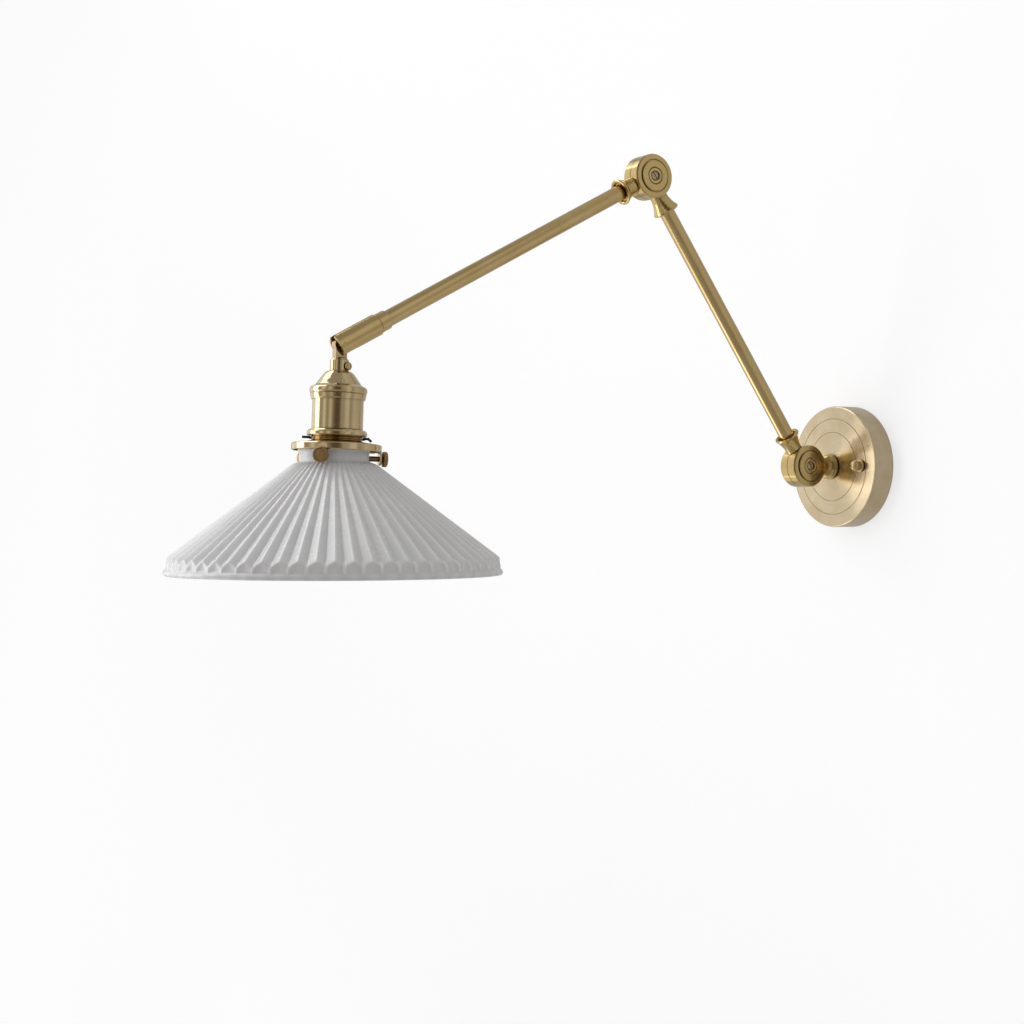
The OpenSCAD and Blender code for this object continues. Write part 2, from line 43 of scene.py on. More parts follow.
LEAN = math.radians(2.2)
NODES = frame["nodes"]
JOINTS = {j["name"]: j for j in frame["record"]["behaviour"]["joints"]}
WALL_PIVOT = Vector(JOINTS["wall_knuckle"]["pos_m"])
ELBOW = Vector(JOINTS["elbow_knuckle"]["pos_m"])
HEAD = Vector(JOINTS["head_tilt"]["pos_m"])
HEAD_AXIS = Vector((0, math.sin(LEAN), math.cos(LEAN)))
UP_AXIS = (ELBOW - HEAD).normalized()
LOW_AXIS = (ELBOW - WALL_PIVOT).normalized()
SHADE = Vector((0, HEAD.y - 4.9 * MM, 0))
X, Y = Vector((1, 0, 0)), Vector((0, 1, 0))

# ---------------------------------------------------------------- camera
cam_data = bpy.data.cameras.new("camera")
cam = bpy.data.objects.new("camera", cam_data)
bpy.context.scene.collection.objects.link(cam)
cam_data.sensor_width = 36.0
cam_data.lens = 64.86
cam_data.clip_start, cam_data.clip_end = 0.01, 50.0
cam.location = (1.227986, -1.123714, -0.039952)
cam.rotation_euler = (math.radians(90), 0, math.radians(57.952))
bpy.context.scene.camera = cam


# ---------------------------------------------------------------- node helpers
class Mat:
    """A small builder for procedural materials."""

    def __init__(self, name, **sockets):
        self.m = bpy.data.materials.new(name)
        self.m.use_nodes = True
        self.t = self.m.node_tree
        self.t.nodes.clear()
        self.out = self.t.nodes.new("ShaderNodeOutputMaterial")
        self.b = self.t.nodes.new("ShaderNodeBsdfPrincipled")
        self.link(self.b.outputs[0], self.out.inputs["Surface"])
        for k, v in sockets.items():
            self.b.inputs[k.replace("_", " ")].default_value = v

    def link(self, a, b):
        self.t.links.new(a, b)

    def n(self, kind, props=None, **inputs):
        x = self.t.nodes.new("ShaderNode" + kind)
        for k, v in (props or {}).items():
            setattr(x, k, v)
        for k, v in inputs.items():
            s = x.inputs[int(k[1:])] if k[0] == "_" and k[1:].isdigit() else x.inputs[k.replace("_", " ")]
            if hasattr(v, "links"):
                self.link(v, s)
            else:
                s.default_value = v
        return x

    def math(self, op, a, b=0.0, c=0.0, clamp=False):
        return self.n("Math", {"operation": op, "use_clamp": clamp}, _0=a, _1=b, _2=c).outputs[0]

    def ramp(self, fac, stops):
        x = self.n("ValToRGB", Fac=fac)
        e = x.color_ramp.elements
        while len(e) < len(stops):
            e.new(0.5)
        for el, (p, c) in zip(e, stops):
            el.position = p
            el.color = (c, c, c, 1) if isinstance(c, (int, float)) else (*c, 1)
        return x.outputs[0]

    def mix(self, fac, a, b, blend="MIX"):
        x = self.n("Mix", {"data_type": "RGBA", "blend_type": blend})
        for s, v in ((x.inputs[0], fac), (x.inputs[6], a), (x.inputs[7], b)):
            if hasattr(v, "links"):
                self.link(v, s)
            else:
                s.default_value = v if isinstance(v, (int, float)) else (*v, 1)
        return x.outputs[2]

    def noise(self, vec, scale, detail=4.0, rough=0.5, dist=0.0):
        return self.n("TexNoise", Vector=vec, Scale=scale, Detail=detail, Roughness=rough, Distortion=dist).outputs[0]

    def map(self, vec, loc=(0, 0, 0), rot=(0, 0, 0), scale=(1, 1, 1)):
        return self.n("Mapping", {"vector_type": "POINT"}, Vector=vec, Location=loc, Rotation=rot, Scale=scale).outputs[0]

    def bump(self, height, dist, strength=1.0, normal=None):
        x = self.n("Bump", Height=height, Distance=dist, Strength=strength)
        if normal is not None:
            self.link(normal, x.inputs["Normal"])
        return x.outputs[0]

    def obj(self):
        return self.n("TexCoord").outputs["Object"]

    def creases(self, reach):
        """1 in corners and gaps narrower than reach, 0 in the open."""
        ao = self.n("AmbientOcclusion", {"samples": 3}, Distance=reach).outputs["AO"]
        return self.math("SUBTRACT", 1.0, ao, clamp=True)

    def set(self, socket, value):
        self.link(value, self.b.inputs[socket])


def cylindrical(M, origin, axis):
    """Radius, angle and height of a point about a fixed axis, from object coordinates."""
    o, a = Vector(origin), Vector(axis).normalized()
    ref = X if abs(a.x) < 0.8 else Vector((0, 0, 1))
    r = (ref - a * ref.dot(a)).normalized()
    s = a.cross(r)
    p = M.n("VectorMath", {"operation": "SUBTRACT"}, _0=M.obj(), _1=tuple(o)).outputs[0]
    dot = lambda v: M.n("VectorMath", {"operation": "DOT_PRODUCT"}, _0=p, _1=tuple(v)).outputs["Value"]
    x, y, z = dot(r), dot(s), dot(a)
    rad = M.math("SQRT", M.math("ADD", M.math("MULTIPLY", x, x), M.math("MULTIPLY", y, y)))
    return rad, M.math("ARCTAN2", y, x), z, x, y


def combine(M, x, y, z):
    return M.n("CombineXYZ", X=x, Y=y, Z=z).outputs[0]


def turned_tangent(M, origin, axis):
    """The radial direction about an axis, in world space: a highlight on a turned face stretches that way."""
    o, a = Vector(origin), Vector(axis).normalized()
    p = M.n("VectorMath", {"operation": "SUBTRACT"}, _0=M.obj(), _1=tuple(o)).outputs[0]
    c = M.n("VectorMath", {"operation": "CROSS_PRODUCT"}, _0=p, _1=tuple(a)).outputs[0]
    r = M.n("VectorMath", {"operation": "CROSS_PRODUCT"}, _0=tuple(a), _1=c).outputs[0]
    w = M.n("VectorTransform", {"vector_type": "VECTOR", "convert_from": "OBJECT", "convert_to": "WORLD"}, Vector=r).outputs[0]
    return M.n("VectorMath", {"operation": "NORMALIZE"}, _0=w).outputs[0]


BRASS, BRASS_LIGHT, BRASS_DEEP = (0.58, 0.42, 0.19), (0.65, 0.49, 0.25), (0.36, 0.235, 0.09)


def brass(name, origin, axis, base=BRASS, light=BRASS_LIGHT, deep=BRASS_DEEP, rough=(0.20, 0.34), aniso=0.35,
          line=0.16, depth=0.0022, lengthwise=False, patina=0.5, coat=0.3, seed=0.0):
    """Antique brass, brushed round an axis or along it: fine strokes, cloudy tarnish, painted shade and grime in the
    corners.
    """
    M = Mat(name, Metallic=1.0, Coat_Weight=coat, Coat_Roughness=0.14)
    rad, ang, z, x, y = cylindrical(M, origin, axis)
    co = M.map(M.obj(), loc=(seed, 2 * seed, -seed))
    if lengthwise:
        stroke = combine(M, M.math("MULTIPLY", ang, 6.0 / line), M.math("MULTIPLY", z, 22.0), seed)
    else:
        across = M.math("ADD", rad, z)
        stroke = combine(M, M.math("MULTIPLY", across, 1.0 / (line * MM)), M.math("MULTIPLY", ang, 1.3), seed + 3.7)
    fine = M.noise(stroke, 1.0, 3.0, 0.65)
    wide = M.noise(M.map(stroke, scale=(0.13, 0.7, 1)), 1.0, 2.0, 0.5)
    cloud = M.noise(co, 46.0, 4.0, 0.55, 0.6)
    spots = M.noise(co, 130.0, 5.0, 0.62, 0.3)
    grit = M.noise(co, 900.0, 2.0, 0.6)
    tarnish = M.math("MULTIPLY", M.ramp(spots, [(0.56, 0.0), (0.74, 1.0)]), 0.30 * patina)
    col = M.mix(M.ramp(cloud, [(0.30, 0.0), (0.72, 1.0)]), base, light)
    col = M.mix(M.math("MULTIPLY", M.ramp(fine, [(0.42, 0.0), (0.75, 1.0)]), 0.25), col, light)
    col = M.mix(M.math("MULTIPLY", M.ramp(wide, [(0.50, 0.0), (0.80, 1.0)]), 0.30 * patina), col, deep)
    col = M.mix(tarnish, col, deep)
    # painted shade: the colour is darkened in corners and narrow gaps; the same mask roughens them as grime
    dirt_and_shade = M.math("MULTIPLY", M.creases(0.0024), 0.8)
    col = M.mix(dirt_and_shade, col, tuple(0.35 * v for v in deep))
    M.set("Base Color", col)
    r = M.math("MULTIPLY_ADD", M.math("ADD", M.math("MULTIPLY", fine, 0.55), M.math("MULTIPLY", cloud, 0.45)), rough[1] - rough[0], rough[0])
    M.set("Roughness", M.math("ADD", r, M.math("ADD", M.math("MULTIPLY", tarnish, 0.25), M.math("MULTIPLY", dirt_and_shade, 0.15))))
    M.set("Normal", M.bump(M.math("ADD", fine, M.math("MULTIPLY", grit, 0.12)), depth * MM))
    M.b.inputs["Anisotropic"].default_value = aniso
    if aniso:
        M.set("Tangent", turned_tangent(M, origin, axis))
    return M.m


def metal(name, base, light, deep, rough=(0.3, 0.5), scale=1.0, depth=0.01, dirt_and_shade=0.8, reach=0.0012, seed=0.0):
    """A cast, plated or blackened metal: mottled colour, fine pitting, painted shade in the corners."""
    M = Mat(name, Metallic=1.0)
    co = M.map(M.obj(), loc=(seed, seed, seed))
    a = M.noise(co, 160.0 * scale, 4.0, 0.6, 0.4)
    b = M.noise(co, 1500.0 * scale, 3.0, 0.6)
    col = M.mix(M.ramp(a, [(0.32, 0.0), (0.70, 1.0)]), base, light)
    col = M.mix(M.math("MULTIPLY", M.ramp(b, [(0.52, 0.0), (0.75, 1.0)]), 0.4), col, deep)
    # painted shade: the colour is darkened in corners and narrow gaps
    d = M.math("MULTIPLY", M.creases(reach), dirt_and_shade)
    col = M.mix(d, col, tuple(0.3 * v for v in deep))
    M.set("Base Color", col)
    M.set("Roughness", M.math("MULTIPLY_ADD", M.math("ADD", M.math("MULTIPLY", a, 0.6), M.math("MULTIPLY", b, 0.4)), rough[1] - rough[0], rough[0]))
    M.set("Normal", M.bump(M.math("ADD", M.math("MULTIPLY", a, 0.4), b), depth * MM))
    return M.m


def moulded(name, base, shade, rough=(0.4, 0.55), grain=700.0, depth=0.02, coat=0.0, reach=0.002, seed=0.0):
    """Plastic, fibre, insulation or unglazed porcelain: faint mottling, fine grain, painted shade in the corners."""
    M = Mat(name, Metallic=0.0)
    M.b.inputs["Coat Weight"].default_value = coat
    co = M.map(M.obj(), loc=(seed, -seed, seed))
    a = M.noise(co, 90.0, 4.0, 0.55, 0.3)
    b = M.noise(co, grain, 3.0, 0.6)
    col = M.mix(M.ramp(a, [(0.30, 0.0), (0.72, 1.0)]), base, shade)
    col = M.mix(M.math("MULTIPLY", M.ramp(b, [(0.50, 0.0), (0.72, 1.0)]), 0.25), col, tuple(0.8 * v for v in shade))
    # painted shade: the colour is darkened in corners and narrow gaps
    col = M.mix(M.math("MULTIPLY", M.creases(reach), 0.6), col, tuple(0.35 * v for v in shade))
    M.set("Base Color", col)
    M.set("Roughness", M.math("MULTIPLY_ADD", b, rough[1] - rough[0], rough[0]))
    M.set("Normal", M.bump(M.math("ADD", b, M.math("MULTIPLY", a, 0.6)), depth * MM))
    return M.m


def dress(material, *names):
    for name in names:
        o = NODES[name]
        o.data.materials.clear()
        o.data.materials.append(material)


# ---------------------------------------------------------------- brass of the plate, the arms and the holder
TUBE = dict(base=(0.58, 0.413, 0.168), light=(0.65, 0.482, 0.225), deep=(0.36, 0.232, 0.08))
KNUCKLE = dict(base=(0.585, 0.420, 0.155), light=(0.66, 0.495, 0.215), deep=(0.36, 0.232, 0.07))
HOLDER = dict(base=(0.585, 0.443, 0.235), light=(0.66, 0.515, 0.30), deep=(0.37, 0.25, 0.115))
PLATE = dict(base=(0.605, 0.478, 0.295), light=(0.71, 0.59, 0.40), deep=(0.40, 0.285, 0.15))
dress(brass("plate_brass", (0, 0, 0), Y, rough=(0.18, 0.28), aniso=0.74, line=0.42, depth=0.0075, patina=0.35, **PLATE), "wall_plate")
dress(brass("wall_knuckle_brass", WALL_PIVOT, X, rough=(0.11, 0.20), aniso=0.2, depth=0.0016, seed=1.3, **KNUCKLE), "neck_knuckle", "lower_arm_foot", "wall_cup_washer")
dress(brass("elbow_knuckle_brass", ELBOW, X, rough=(0.11, 0.20), aniso=0.2, depth=0.0016, seed=2.1, **KNUCKLE), "lower_arm_elbow", "upper_arm_elbow", "elbow_cup_washer")
dress(brass("lower_tube_brass", WALL_PIVOT, LOW_AXIS, rough=(0.15, 0.23), aniso=0.2, lengthwise=True, line=0.10, depth=0.0010, patina=0.3, seed=3.2, **TUBE), "lower_arm_tube")
dress(brass("upper_tube_brass", HEAD, UP_AXIS, rough=(0.15, 0.23), aniso=0.2, lengthwise=True, line=0.10, depth=0.0010, patina=0.3, seed=4.4, **TUBE), "upper_arm_tube")
dress(brass("sleeve_brass", HEAD, UP_AXIS, rough=(0.15, 0.24), aniso=0.2, lengthwise=True, line=0.12, depth=0.0010, patina=0.3, seed=5.9, **TUBE), "swivel_collar", "tilt_sleeve", "tilt_pin")
dress(brass("holder_brass", HEAD, HEAD_AXIS, rough=(0.10, 0.17), aniso=0.25, depth=0.0012, patina=0.3, seed=6.3, **HOLDER),
      "tilt_tongue", "holder_cap", "holder_body", "ring_nut", "gallery", "gallery_nut")
dress(brass("cap_nut_brass", (0, 0, 0), Y, rough=(0.30, 0.42), aniso=0.0, depth=0.001, seed=7.7), "cap_nuts", "stem_set_screw")

# ---------------------------------------------------------------- screws, washers and what is inside
BRONZE = dict(base=(0.25, 0.150, 0.060), light=(0.40, 0.26, 0.115), deep=(0.10, 0.055, 0.02))
dress(metal("bronzed_screws", rough=(0.26, 0.42), depth=0.006, **BRONZE),
      "thumbscrew_front", "thumbscrew_right", "thumbscrew_left", "sleeve_set_screw",
      "wall_pivot_nut", "elbow_pivot_nut")
dress(metal("pivot_bolt_brass", (0.48, 0.375, 0.24), (0.60, 0.48, 0.32), (0.22, 0.15, 0.075), rough=(0.26, 0.42), depth=0.006, dirt_and_shade=1.0, reach=0.0016, seed=0.4),
      "wall_pivot_bolt", "elbow_pivot_bolt")
dress(metal("zinc_steel", (0.50, 0.51, 0.53), (0.66, 0.67, 0.68), (0.30, 0.30, 0.32), rough=(0.28, 0.45), scale=0.5),
      "mounting_crossbar", "mounting_studs", "stud_lock_nuts", "nipple_nut", "nipple_washer", "swivel_nipple", "tongue_nut")
dress(metal("contact_brass", (0.66, 0.50, 0.25), (0.78, 0.62, 0.34), (0.40, 0.27, 0.11), rough=(0.22, 0.38)),
      "terminal_screws", "centre_contact", "holder_terminals")
dress(metal("green_earth_screw", (0.07, 0.26, 0.09), (0.11, 0.36, 0.13), (0.03, 0.12, 0.04), rough=(0.28, 0.42)), "earth_screw")
dress(metal("spring_wire", (0.055, 0.048, 0.040), (0.10, 0.088, 0.075), (0.02, 0.018, 0.015), rough=(0.28, 0.42)), "retaining_clip")
dress(moulded("black_fibre", (0.030, 0.027, 0.024), (0.055, 0.048, 0.042), rough=(0.5, 0.7), grain=1800.0, depth=0.03),
      "swivel_washer", "wall_friction_ring", "elbow_friction_ring")
dress(moulded("lead_insulation", (0.045, 0.043, 0.042), (0.075, 0.07, 0.068), rough=(0.38, 0.5), grain=900.0),
      "supply_leads", "neck_lead", "lower_arm_lead", "upper_arm_lead", "holder_lead")
dress(moulded("terminal_plastic", (0.72, 0.69, 0.62), (0.80, 0.78, 0.72), rough=(0.35, 0.5)), "terminal_block")
dress(moulded("porcelain", (0.78, 0.76, 0.71), (0.86, 0.85, 0.81), rough=(0.16, 0.3), depth=0.012, coat=0.35), "holder_core")


# ---------------------------------------------------------------- meshes made here
def mesh_piece(name, verts, faces, material, smooth=True):
    me = bpy.data.meshes.new(name)
    me.from_pydata([tuple(v) for v in verts], [], faces)
    me.validate()
    if smooth:
        me.polygons.foreach_set("use_smooth", [True] * len(me.polygons))
    me.materials.append(material)
    me.update()
    o = bpy.data.objects.new(name, me)
    bpy.context.scene.collection.objects.link(o)
    return o


def lathe_grid(rows, cols, closed):
    """Quads between rows of points that go once round; closed joins the last row to the first."""
    faces = []
    n = len(rows)
    for i in range(n if closed else n - 1):
        a, b = i * cols, ((i + 1) % n) * cols
        for j in range(cols):
            k = (j + 1) % cols
            faces.append((a + j, b + j, b + k, a + k))
    return faces


# the pleated shade -------------------------------------------------------------
PLEATS = 60
HALF = [0.0, 0.045, 0.12, 0.31, 0.5, 0.69, 0.88, 0.955]     # places across half a pleat, ridge to valley


def tent(u, soft=0.085):
    """1 on a ridge (u = 0), 0 in a valley (u = 1), straight between them, with a small round at both."""
    h = lambda v: math.sqrt(v * v + soft * soft)
    return 0.5 - 0.5 * (h(u) - h(1 - u)) / (h(1) - h(0))


def ridge_z(r):
    return -8.9 - 0.752 * (r - 36.96)


def shade_rows():
    """Profile rows (ridge r, ridge z, valley r, valley z, kind): down the outside, round the lip, up the inside."""
    rows = []
    plain = lambda pts: [rows.append((r, z, r, z, "plain")) for r, z in pts]
    plain([(24.5, 6.8), (25.9, 6.78), (26.6, 6.66), (27.05, 6.35), (27.2, 5.95), (27.1, 5.55), (26.7, 5.2), (26.25, 4.95),
           (26.02, 4.5), (26.0, 3.9), (26.0, 2.2), (26.0, 0.4), (26.0, -1.2), (26.04, -1.9), (26.25, -2.6)])
    rows += [(26.65, -3.02, 26.65, -3.2, "cone"), (27.35, -3.4, 27.35, -3.78, "cone"), (28.5, -3.76, 28.5, -4.4, "cone"),
             (30.0, -4.25, 30.0, -5.1, "cone"), (31.6, -5.05, 31.6, -6.0, "cone")]
    for r in (34, 38, 43, 49, 56, 64, 74, 84, 94, 103, 110, 115.5, 119.3):
        z = ridge_z(r)
        rows.append((r, z, r, z - 3.7 * r / 122, "cone"))
    rows += [(121.2, -72.3, 121.2, -76.0, "cone"), (121.95, -73.0, 121.95, -76.7, "edge"), (122.45, -73.75, 122.45, -77.35, "edge"),
             (122.55, -74.5, 122.85, -78.0, "skirt"), (122.35, -75.3, 123.1, -78.55, "skirt"), (122.1, -76.8, 123.25, -79.2, "skirt"),
             (122.0, -78.7, 123.3, -80.0, "skirt"), (122.05, -80.2, 123.35, -80.75, "skirt"), (122.25, -81.05, 123.4, -81.35, "skirt"),
             (122.75, -81.55, 123.45, -81.7, "skirt")]
    plain([(123.5, -81.95), (123.9, -82.35), (124.4, -82.8), (124.8, -83.35), (125.0, -84.0), (125.0, -84.75), (124.85, -85.4),
           (124.45, -85.95), (123.85, -86.35), (123.1, -86.5), (122.2, -86.4), (121.2, -86.05), (120.45, -85.6), (120.0, -85.0)])
    rows += [(119.75, -84.0, 119.8, -84.1, "inside"), (119.5, -82.6, 119.7, -82.9, "inside"), (119.3, -80.4, 119.6, -81.6, "inside"),
             (119.0, -78.0, 119.3, -80.5, "inside"), (118.2, -74.9, 118.5, -78.2, "inside"), (116.5, -72.35, 116.5, -75.88, "inside")]
    for r in (110, 101, 90, 78, 66, 54, 43, 36, 32):
        z = ridge_z(r) - 3.7
        rows.append((r, z, r, z - 3.7 * r / 122, "inside"))
    rows += [(28.6, -7.5, 28.6, -8.3, "inside"), (26.3, -6.8, 26.3, -7.3, "inside")]
    plain([(24.7, -6.3), (23.6, -5.5), (23.2, -4.5), (23.05, -2.5), (23.0, 0.0), (22.95, 3.0), (22.95, 5.4), (23.1, 6.2), (23.5, 6.65), (24.0, 6.8)])
    return rows


def shade_mesh(material):
    us = [(u, u) for u in HALF] + [(2 - u, u) for u in [1.0] + HALF[:0:-1]]
    angles, waves = [], []
    for p in range(PLEATS):
        for k, (pos, u) in enumerate(us):
            # pos runs 0..2 over a whole pleat: ridge, valley, next ridge
            angles.append(math.radians(3.8) + (p + pos / 2) * 2 * math.pi / PLEATS)
            waves.append(u)
    cols = len(angles)
    verts = []
    for rr, zr, rv, zv, kind in shade_rows():
        for a, u in zip(angles, waves):
            w = tent(u)
            if kind == "skirt":
                s = u * u
                r = rr + (rv - rr) * s
                z = zv + (zr - zv) * w
            elif kind == "edge":
                w = tent(u, 0.06)
                r, z = rv + (rr - rv) * w, zv + (zr - zv) * w
            else:
                r, z = rv + (rr - rv) * w, zv + (zr - zv) * w
            # hand-pressed clay is never quite true
            if r > 27:
                q = Vector((r * math.cos(a), r * math.sin(a), z)) * 0.03
                k = min(1.0, (r - 27) / 12)
                r = min(125.0, r + 0.10 * k * noise.noise(q + Vector((3.1, 7.7, 1.9))))
                z += 0.16 * k * noise.noise(q) * (1 if z > -85 else 0.0)
            verts.append(SHADE + Vector((r * math.cos(a), r * math.sin(a), z)) * MM)
    return mesh_piece("pleated_shade", verts, lathe_grid(shade_rows(), cols, True), material)


def glaze(name):
    """White glazed ceramic: painted highlight lines on the ridges and between the scallops, painted shade in the
    valleys and corners, cloudy tone, orange peel, pin specks.
    """
    M = Mat(name, Metallic=0.0, IOR=1.5)
    M.b.inputs["Coat Weight"].default_value = 0.12
    M.b.inputs["Coat Roughness"].default_value = 0.12
    M.b.inputs["Specular IOR Level"].default_value = 0.3
    M.b.inputs["Subsurface Weight"].default_value = 0.0
    rad, ang, z, x, y = cylindrical(M, SHADE, (0, 0, 1))
    co = M.obj()
    # height above the mean cone, -1 in a valley to 1 on a ridge
    wave = M.math("COSINE", M.math("MULTIPLY_ADD", ang, PLEATS, -math.radians(3.8) * PLEATS))
    # painted highlight lines: on the ridges down to the rim's band, and in the band between the scallops
    on_cone = M.math("MULTIPLY", M.math("ADD", z, 0.0745), 600.0, clamp=True)
    below = M.math("MULTIPLY", M.math("SUBTRACT", 1.0, on_cone), M.math("MULTIPLY", M.math("ADD", z, 0.0825), 600.0, clamp=True))
    # painted highlight along the ridges
    edge = M.math("MULTIPLY", M.ramp(wave, [(0.74, 0.0), (0.98, 1.0)]), M.math("MULTIPLY", on_cone, M.math("MULTIPLY", M.math("SUBTRACT", rad, 0.030), 45.0, clamp=True)))
    rib_highlight = M.math("MULTIPLY", M.ramp(M.math("MULTIPLY", wave, -1.0), [(0.66, 0.0), (0.96, 1.0)]), below)
    fade = M.math("MULTIPLY", M.math("SUBTRACT", rad, 0.027), 14.0, clamp=True)
    wave = M.math("MULTIPLY", wave, fade)
    cloud = M.noise(co, 26.0, 4.0, 0.55, 0.5)
    peel = M.noise(co, 420.0, 3.0, 0.55)
    pits = M.noise(co, 1600.0, 2.0, 0.5)
    col = M.mix(M.ramp(cloud, [(0.30, 0.0), (0.70, 1.0)]), (0.775, 0.782, 0.800), (0.815, 0.823, 0.836))
    # painted shade: darker in the valleys, full colour on the ridges
    col = M.mix(M.math("MULTIPLY_ADD", wave, 0.5, 0.5, clamp=True), M.mix(0.36, col, (0.60, 0.61, 0.64)), col)
    # painted highlight: pale lines mixed in on the ridges and the scallop ribs
    col = M.mix(M.math("MULTIPLY", M.math("ADD", edge, rib_highlight), 0.75), col, (0.92, 0.925, 0.935))
    col = M.mix(M.math("MULTIPLY", M.ramp(pits, [(0.70, 0.0), (0.78, 1.0)]), 0.25), col, (0.60, 0.585, 0.56))
    # painted shade: the colour is darkened in corners and narrow gaps
    col = M.mix(M.math("MULTIPLY", M.creases(0.004), 0.30), col, (0.52, 0.52, 0.53))
    M.set("Base Color", col)
    M.set("Roughness", M.math("MULTIPLY_ADD", M.math("ADD", M.math("MULTIPLY", cloud, 0.6), M.math("MULTIPLY", peel, 0.4)), 0.14, 0.20))
    M.set("Normal", M.bump(M.math("ADD", M.math("MULTIPLY", peel, 1.0), M.math("MULTIPLY", pits, 0.15)), 0.035 * MM))
    return M.m


shade = shade_mesh(glaze("shade_glaze"))
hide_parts("shade")
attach(shade, "head")


def in_head(r, a, z):
    """A point of the lamp holder's own cylinder coordinates, in millimetres from the tilt pivot, in the world."""
    x, y = r * math.cos(a), r * math.sin(a)
    c, s = math.cos(LEAN), math.sin(LEAN)
    return HEAD + Vector((x, c * y + s * z, -s * y + c * z)) * MM


def threaded_tube(name, material, r_out, r_in, z0, z1, pitch, depth, fade=1.2, cols=72, step=0.16):
    """A thin tube with a rolled thread running round it, its ends faded out, closed and with no loose faces."""
    rows = []
    n = max(8, round((z0 - z1) / step))
    zs = [z0 - (z0 - z1) * i / n for i in range(n + 1)]

    def crest(z, a):
        k = min(1.0, (z0 - z) / fade, (z - z1) / fade)
        return 0.5 * depth * (max(0.0, k)) * math.cos(2 * math.pi * (z / pitch) - a)
    for z in zs:
        rows.append([(r_out + crest(z, 2 * math.pi * j / cols), 2 * math.pi * j / cols, z) for j in range(cols)])
    for z in reversed(zs):
        rows.append([(r_in + crest(z, 2 * math.pi * j / cols), 2 * math.pi * j / cols, z) for j in range(cols)])
    verts = [in_head(*p) for row in rows for p in row]
    return mesh_piece(name, verts, lathe_grid(rows, cols, True), material)


shell = threaded_tube("screw_shell_rolled", NODES["centre_contact"].data.materials[0], 13.75, 13.35, -56.0, -80.0, 3.63, 0.42, fade=1.6, cols=96, step=0.3)
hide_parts("screw_shell")
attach(shell, "head")


# ---------------------------------------------------------------- stage
def plane(name, corners):
    me = bpy.data.meshes.new(name)
    me.from_pydata(corners, [], [(0, 1, 2, 3)])
    o = bpy.data.objects.new(name, me)
    bpy.context.scene.collection.objects.link(o)
    return o


def turn_of(direction, t):
    """Nodes: how far a horizontal direction lies round from the camera's side, -180 to 180 degrees as 0 to 1."""
    sep = t.nodes.new("ShaderNodeSeparateXYZ")
    t.links.new(direction, sep.inputs[0])
    at = t.nodes.new("ShaderNodeMath")
    at.operation = "ARCTAN2"
    t.links.new(sep.outputs["Y"], at.inputs[0])
    t.links.new(sep.outputs["X"], at.inputs[1])
    sc = t.nodes.new("ShaderNodeMath")
    sc.operation = "MULTIPLY_ADD"
    sc.inputs[1].default_value = 1 / (2 * math.pi)
    sc.inputs[2].default_value = 0.5 + 32.05 / 360
    t.links.new(at.outputs[0], sc.inputs[0])
    fr = t.nodes.new("ShaderNodeMath")
    fr.operation = "FRACT"
    t.links.new(sc.outputs[0], fr.inputs[0])
    return fr.outputs[0], sep.outputs["Z"]


def levels(t, fac, stops, lo, hi, warm=False):
    """A ramp over lo..hi from (place, strength) stops; strengths may pass 1, and the dim ones can turn warm."""
    r = t.nodes.new("ShaderNodeValToRGB")
    e = r.color_ramp.elements
    while len(e) < len(stops):
        e.new(0.5)
    for el, (p, v) in zip(e, stops):
        k = min(1.0, v / 0.45) if warm else 1.0
        el.position = (p - lo) / (hi - lo)
        el.color = (v, v * (0.72 + 0.28 * k), v * (0.50 + 0.50 * k), 1)
    t.links.new(fac, r.inputs[0])
    return r.outputs[0]


def node_math(t, op, a, b, c=0.0):
    x = t.nodes.new("ShaderNodeMath")
    x.operation = op
    for s, v in zip(x.inputs, (a, b, c)):
        if hasattr(v, "links"):
            t.links.new(v, s)
        else:
            s.default_value = v
    return x.outputs[0]


def stage_material(name, seen, albedo, lit, dull=((-3, 0.0), (3, 0.0))):
    """A pale studio surface: its glow as seen, as it lights the lamp, and how much less polished pieces mirror of it,
    all along X; its back can be seen through."""
    m = bpy.data.materials.new(name)
    m.use_nodes = True
    t = m.node_tree
    t.nodes.clear()
    new = lambda k: t.nodes.new("ShaderNode" + k)
    out, dif, e1, e2, add, tra, geo, path, mix1, mix2, coord = (new(k) for k in (
        "OutputMaterial", "BsdfDiffuse", "Emission", "Emission", "AddShader", "BsdfTransparent", "NewGeometry", "LightPath", "MixShader", "MixShader", "TexCoord"))
    dif.inputs["Color"].default_value = (albedo, albedo, albedo, 1)
    e1.inputs["Color"].default_value = (0.996, 1.0, 1.012, 1)
    e2.inputs["Color"].default_value = (1.0, 0.985, 0.96, 1)
    # the light falls off along the surface, from bright at the key's side
    sep = new("SeparateXYZ")
    t.links.new(coord.outputs["Object"], sep.inputs[0])
    far = node_math(t, "MULTIPLY_ADD", sep.outputs["X"], 1 / 6, 0.5)
    t.links.new(levels(t, far, seen, -3, 3), e1.inputs["Strength"])
    less = node_math(t, "MULTIPLY", levels(t, far, dull, -3, 3), path.outputs["Is Glossy Ray"])
    t.links.new(node_math(t, "SUBTRACT", levels(t, far, lit, -3, 3), less), e2.inputs["Strength"])
    t.links.new(dif.outputs[0], add.inputs[0])
    t.links.new(e1.outputs[0], add.inputs[1])
    t.links.new(path.outputs["Is Camera Ray"], mix1.inputs[0])
    t.links.new(e2.outputs[0], mix1.inputs[1])
    t.links.new(add.outputs[0], mix1.inputs[2])
    t.links.new(geo.outputs["Backfacing"], mix2.inputs[0])
    t.links.new(mix1.outputs[0], mix2.inputs[1])
    t.links.new(tra.outputs[0], mix2.inputs[2])
    t.links.new(mix2.outputs[0], out.inputs["Surface"])
    return m


